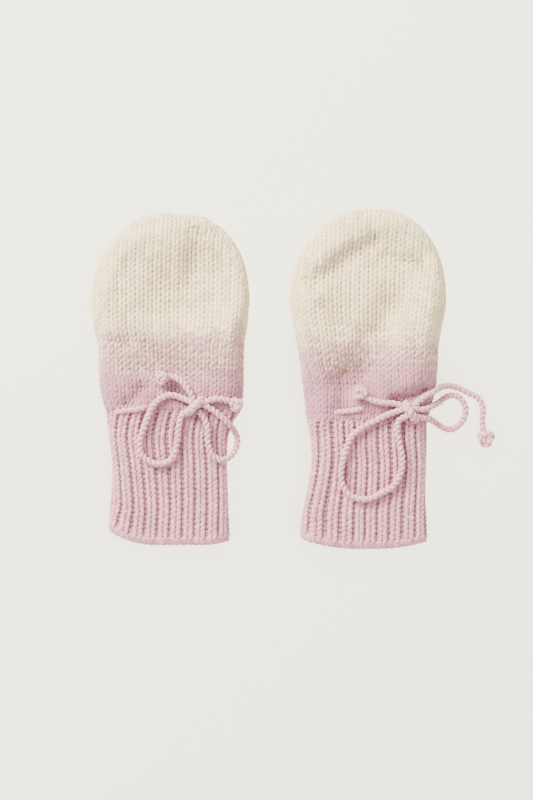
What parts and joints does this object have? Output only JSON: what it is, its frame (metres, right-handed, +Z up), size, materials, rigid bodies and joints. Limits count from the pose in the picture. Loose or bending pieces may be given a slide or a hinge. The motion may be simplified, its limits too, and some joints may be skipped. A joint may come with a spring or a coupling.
{
  "type": "pair of baby mittens",
  "caption": "Soft thumbless baby mittens laid flat, knitted in the round, with a ribbed cuff and a twisted drawstring tied in a bow at each wrist",
  "frame": {"origin": "On the surface that the mittens lie on, below the centre of the box around both hands and cuffs, without the drawstrings", "axes": "+X runs from the mitten on the left to the one on the right, +Y from the cuffs to the fingertips, +Z up from the surface"},
  "size_m": [0.1616, 0.1366, 0.0153],
  "materials": {
    "cream_knit": "matt hand-knitted stocking stitch in soft two-ply yarn, cream shading to blush",
    "pink_knit": "matt hand-knitted rib in soft two-ply pink yarn",
    "twisted_cord": "matt twisted cord of cream and pink yarn"
  },
  "bodies": {
    "root": {"left_hand": "cream_knit", "left_cuff": "pink_knit", "left_drawstring": "twisted_cord", "left_bow_knot": "twisted_cord", "left_loop_left": "twisted_cord", "left_loop_right": "twisted_cord", "left_tail_up": "twisted_cord", "left_end_knot_tail_up": "twisted_cord", "left_tail_side": "twisted_cord", "left_end_knot_tail_side": "twisted_cord", "right_hand": "cream_knit", "right_cuff": "pink_knit", "right_drawstring": "twisted_cord", "right_bow_knot": "twisted_cord", "right_loop_left": "twisted_cord", "right_loop_right": "twisted_cord", "right_tail_up": "twisted_cord", "right_end_knot_tail_up": "twisted_cord", "right_tail_side": "twisted_cord", "right_end_knot_tail_side": "twisted_cord"}
  },
  "joints": []
}
